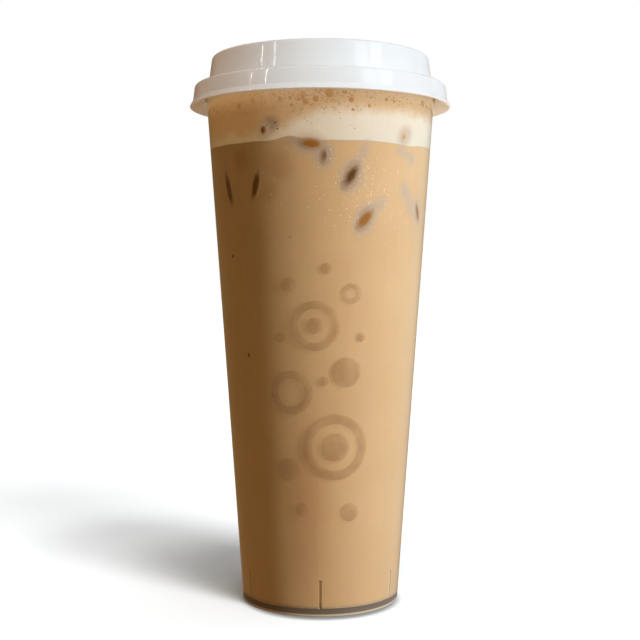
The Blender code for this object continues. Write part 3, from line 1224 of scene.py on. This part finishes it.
@dataclass
class Lid:
    """The white lid: a raised drum round a sunken panel, a flat shoulder and a flared skirt."""

    finish: WhitePlastic
    top: float = 198.4 * MM
    thickness: float = 0.85 * MM
    rounding: float = 1.0 * MM
    drum_top_radius: float = 39.65 * MM
    drum_foot_radius: float = 41.03 * MM
    drum_foot_rounding: float = 0.5 * MM
    rim_width: float = 4.0 * MM
    panel_depth: float = 4.2 * MM
    panel_draft: float = 0.9 * MM
    ring_radius: float = 19.0 * MM
    ring_width: float = 1.6 * MM
    ring_height: float = 0.5 * MM
    ring_rounding: float = 0.2 * MM
    shoulder_top: float = 188.15 * MM
    shoulder_radius: float = 45.95 * MM
    skirt_radius: float = 46.65 * MM
    skirt_foot: float = 182.55 * MM
    flare_radius: float = 47.85 * MM
    flare_foot: float = 180.6 * MM
    flare_edge: float = 0.65 * MM
    flare_rounding: float = 0.2 * MM
    bead_radius: float = 41.76 * MM
    bead_height: float = 183.3 * MM
    bead_half: float = 0.5 * MM
    bead_rounding: float = 0.14 * MM
    skirt_inner: float = 45.3 * MM

    def corners(self) -> list[Corner]:
        """The lid's outline, from the middle of its top out, down and back in underneath.

        Returns:
            The outline's corners.
        """
        thick, panel, shoulder = self.thickness, self.top - self.panel_depth, self.shoulder_top
        rim_inner = self.drum_top_radius - self.rim_width
        ring_low, ring_high = self.ring_radius - self.ring_width / 2, self.ring_radius + self.ring_width / 2
        crest = panel + self.ring_height
        return [
            (0.0, panel),
            (ring_low, panel, self.ring_rounding),
            (ring_low + self.ring_height, crest, self.ring_rounding),
            (ring_high - self.ring_height, crest, self.ring_rounding),
            (ring_high, panel, self.ring_rounding),
            (rim_inner - self.panel_draft, panel, self.rounding),
            (rim_inner, self.top, self.rounding),
            (self.drum_top_radius, self.top, self.rounding),
            (self.drum_foot_radius, shoulder, self.drum_foot_rounding),
            (self.shoulder_radius, shoulder, self.rounding),
            (self.skirt_radius, self.skirt_foot, self.rounding),
            (self.flare_radius, self.flare_foot, self.flare_rounding),
            (self.flare_radius - self.flare_edge, self.flare_foot - self.flare_rounding, self.flare_rounding),
            (self.bead_radius, self.bead_height, self.bead_rounding),
            (self.skirt_inner, self.bead_height + self.bead_half),
            (self.skirt_inner, shoulder - thick),
            (self.drum_foot_radius - thick, shoulder - thick),
            (self.drum_top_radius - thick, self.top - thick),
            (rim_inner + thick, self.top - thick),
            (rim_inner + thick - self.panel_draft, panel - thick),
            (0.0, panel - thick),
        ]

    def build(self) -> Object:
        """Makes the lid."""
        return add_piece("lid_shell", turned(self.corners()), self.finish.material(), ["lid"])


class Reach(Enum):
    """Which surfaces a lamp lights."""

    DRINK = "all but the floor and the lid"
    FOAM = "the foam and its froth"
    TEA = "the tea alone"
    RIM = "the lid and the cup's lip"
    LID = "the lid alone"
    FLOOR = "the floor alone"


def grouped(name: str, members: Iterable[Object], left_out: bool = False) -> Collection:
    """Groups the surfaces that a light is for, or that it leaves out.

    Args:
        name: The group's name.
        members: The surfaces.
        left_out: Whether the light is for all the others.

    Returns:
        The group.
    """
    group = bpy.data.collections.new(name)
    for member in members:
        group.objects.link(member)
    for link in group.collection_objects:
        link.light_linking.link_state = "EXCLUDE" if left_out else "INCLUDE"
    return group


@dataclass(frozen=True)
class Light:
    """Something that lights the scene: its name, where it is round the cup, its power and its colour."""

    name: str
    azimuth: float
    power: float
    colour: Colour

    def add(self, kind: str, receivers: Collection) -> Object:
        """Puts the light into the scene.

        Args:
            kind: Its type, AREA or SUN.
            receivers: The surfaces that it lights.

        Returns:
            The new light.
        """
        data = bpy.data.lights.new(self.name, kind)
        data.energy, data.color = self.power, self.colour
        light = bpy.data.objects.new(self.name, data)
        light.light_linking.receiver_collection = receivers
        bpy.context.scene.collection.objects.link(light)
        return light


@dataclass(frozen=True)
class Lamp(Light):
    """A flat studio lamp, with its height, its distance and its size."""

    height: float
    distance: float
    width: float
    tall: float
    reach: Reach = Reach.DRINK
    reflection_only: bool = False
    through_lid: bool = False
    shift: float = 0.0
    aim: float = 0.1

    def place(self, receivers: Collection, lid: Collection) -> None:
        """Sets up the lamp, facing the cup.

        Args:
            receivers: The surfaces that it lights.
            lid: The group that leaves the lid out of the lamp's shadows.
        """
        lamp = self.add("AREA", receivers)
        lamp.data.shape, lamp.data.size, lamp.data.size_y = "RECTANGLE", self.width, self.tall
        centre = polar(self.azimuth, self.distance, self.height)
        lamp.rotation_euler = (Vector((0.0, 0.0, self.aim)) - centre).to_track_quat("-Z", "Y").to_euler()
        lamp.location = centre + polar(self.azimuth + 90, self.shift)
        lamp.visible_camera = lamp.visible_transmission = False
        lamp.visible_glossy, lamp.visible_diffuse = self.reflection_only, not self.reflection_only
        if self.through_lid:
            lamp.light_linking.blocker_collection = lid


@dataclass(frozen=True)
class Beam(Light):
    """A soft sun that lights the floor alone, with its elevation and the width that softens its shadow."""

    elevation: float
    width: float

    def place(self, receivers: Collection) -> None:
        """Sets up the beam.

        Args:
            receivers: The surfaces that it lights.
        """
        beam = self.add("SUN", receivers)
        beam.data.angle = math.radians(self.width)
        rise = math.radians(self.elevation)
        source = polar(self.azimuth, math.cos(rise), math.sin(rise))
        beam.rotation_euler = source.to_track_quat("Z", "Y").to_euler()


@dataclass(frozen=True)
class Surroundings:
    """The soft light of the room: bright on the window's side, dim and warm on the other, and white behind."""

    bright_azimuth: float = 95.0
    bright: tuple[float, float, float, float] = (0.42, 0.43, 0.43, 1.0)
    dim: tuple[float, float, float, float] = (0.186, 0.107, 0.043, 1.0)
    turn_start: float = 0.1
    turn_end: float = 0.85
    bounce: float = 1.35
    haze: float = 0.12

    def build(self) -> World:
        """Makes the room's light.

        Returns:
            The surroundings.
        """
        tree = ShaderTree(bpy.data.worlds.new("surroundings"))
        direction = tree.add("TexCoord").outputs["Generated"]
        facing = tree.vector_maths("DOT_PRODUCT", direction, polar(self.bright_azimuth)).outputs["Value"]
        glow = tree.mix(tree.ramp(facing, self.turn_start, self.turn_end), self.dim, self.bright)
        height = tree.add("SeparateXYZ", {0: direction}).outputs[2]
        strength = tree.ramp(height, self.haze, -self.haze, 1.0, self.bounce)
        room = tree.add("Background", {"Color": glow, "Strength": strength})
        white = tree.add("Background", {"Color": "#ffffff"})
        path = tree.add("LightPath").outputs
        seen = tree.maths("MAXIMUM", path["Is Camera Ray"], path["Is Transmission Ray"])
        return tree.finish(tree.mix_shaders(seen, room, white))


@dataclass
class Studio:
    """The camera, the pale floor and the soft lamps."""

    lens: float = 64.34
    sensor: float = 36.0
    camera_place: tuple[float, float, float] = (-0.0001, -0.4242, 0.1173)
    camera_pitch: float = 1.96
    floor_size: float = 12.0
    floor_colour: str = "#cbe5fe"
    floor_grain: str = "#c9e3fb"
    grain_cover: float = 0.05
    # Painted contact shadow round the cup's foot: how much light is left at the foot, its centre, and where it starts
    # and ends
    contact_light: float = 0.30
    contact_centre: tuple[float, float, float] = (0.4 * MM, -3.8 * MM, 0.0)
    contact_start: float = 26.0 * MM
    contact_end: float = 30.6 * MM
    # Each lamp's azimuth, power and colour, then its height, distance, width and own height
    lamps: tuple[Lamp, ...] = (
        Lamp("window", 52, 3.1, (1.0, 0.98, 0.99), 0.28, 0.75, 0.12, 0.60),
        Lamp("window_through_lid", 52, 2.9, (1.0, 0.98, 0.99), 0.28, 0.75, 0.12, 0.60, through_lid=True),
        Lamp("sky_on_tea", 88, 0.030, (0.30, 0.95, 1.90), 0.20, 0.16, 0.08, 0.08, Reach.TEA, aim=0.15),
        Lamp("floor_bounce", -70, 0.0022, (1.0, 0.70, 0.42), 0.012, 0.12, 0.06, 0.04, Reach.TEA, aim=0.05),
        Lamp("window_on_lid", 46, 5.0, (0.88, 0.99, 1.13), 0.28, 0.75, 0.36, 0.60, Reach.LID),
        Lamp("front_room_on_lid", -24, 1.3, (0.82, 1.03, 1.05), 0.25, 0.75, 0.50, 0.60, Reach.LID),
        Lamp("glow_under_rim", 90, 0.048, (1.0, 0.79, 0.57), 0.13, 0.045, 0.07, 0.07, Reach.RIM, aim=1.0),
        Lamp("dim_glow_under_rim", -90, 0.012, (1.0, 0.66, 0.36), 0.13, 0.045, 0.07, 0.07, Reach.RIM, aim=1.0),
        Lamp("pale_wall_behind", 150, 0.8, (0.88, 0.95, 1.08), 0.25, 0.80, 0.80, 0.60, Reach.LID, True),
        Lamp("ceiling_on_lid", 0, 3.8, (1.0, 0.99, 0.97), 1.20, 0.02, 0.30, 0.30, Reach.LID),
        Lamp("near_pane", 52, 0.6, (0.93, 0.98, 1.0), 0.30, 0.55, 0.125, 0.60, Reach.LID, True, shift=-0.073),
        Lamp("far_pane", 52, 0.6, (0.93, 0.98, 1.0), 0.30, 0.55, 0.125, 0.60, Reach.LID, True, shift=0.073),
        Lamp("warm_room_on_lid", -90, 1.0, (1.0, 0.25, 0.08), 0.30, 0.70, 0.9, 0.9, Reach.LID),
        Lamp("warm_room_on_foam", -45, 1.35, (1.0, 0.62, 0.30), 0.40, 0.70, 0.6, 0.6, Reach.FOAM, through_lid=True),
        Lamp("wide_strip", -49.5, 0.3, (1.0, 1.0, 1.0), 0.40, 0.70, 0.009, 0.5, Reach.LID, True),
        Lamp("thin_strip", -64.5, 0.22, (1.0, 1.0, 1.0), 0.40, 0.70, 0.005, 0.4, Reach.LID, True),
    )
    # Each beam's name, azimuth, power, elevation and width
    beams: tuple[tuple[str, float, float, float, float], ...] = (
        ("low_beam", 38.0, 2.43, 33.0, 23.0),
        ("middle_beam", 41.0, 1.18, 57.0, 11.0),
        ("high_beam", 21.0, 1.36, 72.0, 17.0),
        ("overhead_beam", 95.0, 1.40, 86.0, 48.0),
    )
    beam_colour: Colour = (1.0, 0.776, 0.628)

    def add_camera(self) -> None:
        """Sets up the camera at the photograph's place."""
        data = bpy.data.cameras.new("camera")
        data.lens, data.sensor_width, data.sensor_fit = self.lens, self.sensor, "HORIZONTAL"
        camera = bpy.data.objects.new("camera", data)
        camera.location = self.camera_place
        camera.rotation_euler = (math.radians(90 - self.camera_pitch), 0.0, 0.0)
        bpy.context.scene.collection.objects.link(camera)
        bpy.context.scene.camera = camera

    def add_floor(self) -> Object:
        """Lays the pale floor, with a painted contact shadow that dims it right at the cup's foot.

        Returns:
            The floor.
        """
        sheet = bmesh.new()
        bmesh.ops.create_grid(sheet, x_segments=2, y_segments=2, size=self.floor_size / 2)
        floor = show("floor", sheet)
        tree = ShaderTree.for_material("floor")
        pale = tree.mix(tree.clouds(40 * MM, 0.0, self.grain_cover), self.floor_colour, self.floor_grain)
        # Painted contact shadow, darkest at the cup's foot
        away = tree.vector_maths("DISTANCE", tree.place(), self.contact_centre).outputs["Value"]
        lit = tree.ramp(away, self.contact_start, self.contact_end, self.contact_light)
        shader = tree.add("BsdfDiffuse", {"Color": tree.mix(lit, "#000000", pale)})
        floor.data.materials.append(tree.finish(shader))
        floor.visible_diffuse = floor.visible_glossy = floor.visible_shadow = False
        return floor

    def build(self, cup: Object, tea: Object, foam: Object, froth: Object, lid: Object) -> None:
        """Sets up the whole studio.

        Args:
            cup: The clear cup.
            tea: The tea.
            foam: The foam.
            froth: The froth's bubbles.
            lid: The lid.
        """
        self.add_camera()
        floor = self.add_floor()
        members = {
            Reach.DRINK: (floor, lid), Reach.FOAM: (foam, froth), Reach.TEA: (tea,),
            Reach.RIM: (lid, cup), Reach.LID: (lid,), Reach.FLOOR: (floor,),
        }
        groups = {reach: grouped(reach.name.lower(), members[reach], reach is Reach.DRINK) for reach in Reach}
        shadeless = grouped("shadeless", [lid], left_out=True)
        for lamp in self.lamps:
            lamp.place(groups[lamp.reach], shadeless)
        for name, azimuth, power, elevation, width in self.beams:
            Beam(name, azimuth, power, self.beam_colour, elevation, width).place(groups[Reach.FLOOR])
        bpy.context.scene.world = Surroundings().build()
        bpy.context.scene.view_settings.view_transform = "Standard"
        log.info("studio: %d lamps and %d beams", len(self.lamps), len(self.beams))


def main() -> None:
    """Builds and dresses every part of the drink in order, then the studio."""
    logging.basicConfig(level=logging.INFO, format="%(message)s")
    wall, marks, coarse = WallShape(), DrinkMarks(), CoarseFroth()
    ribs = Ribs(wall)
    tea_finish = DrinkFinish(
        "milk_tea", wall, marks, body="#d3b487", clouded="#cfaf82", veil="#b9a893", rim="#b39c82",
        painted_shade="#b07e52", mottle="#bb9d73", speck_and_slot_shade="#33200f",
    )
    foam_finish = DrinkFinish(
        "milk_foam", wall, marks, body="#dcdacc", clouded="#d8d4c6", veil="#c6b9a9", rim="#c6b69e",
        painted_shade="#d9c09a", mottle="#cbbb9d", speck_and_slot_shade="#5d3c22", froth=coarse,
    )
    drink = Drink(wall, ribs, tea_finish, foam_finish)
    cup = Cup(wall, ribs, ClearPlastic()).build()
    tea, foam = drink.build_tea(), drink.build_foam()
    lid = Lid(WhitePlastic()).build()
    Ice(wall, marks.ice).build()
    froth = BubbleField("froth_bubbles", wall, FrothSkin(wall, coarse), "milk_foam", Froth().draw()).build()
    # The tiny bubbles are painted near white, lightest in the middle, as painted glints
    glinting_bubble_skin = WallContact("glinting_bubble_skin", wall, edge="#f4e8d6", middle="#fffdf8", rise=0.05 * MM)
    BubbleField(
        "fine_bubbles", wall, glinting_bubble_skin, "milk_tea", FineBubbles().draw(), flatness=0.5, turns=8, rings=3,
    ).build()
    PrintedPattern(wall, PrintInk()).build()
    Studio().build(cup, tea, foam, froth, lid)


if __name__ == "__main__":
    main()
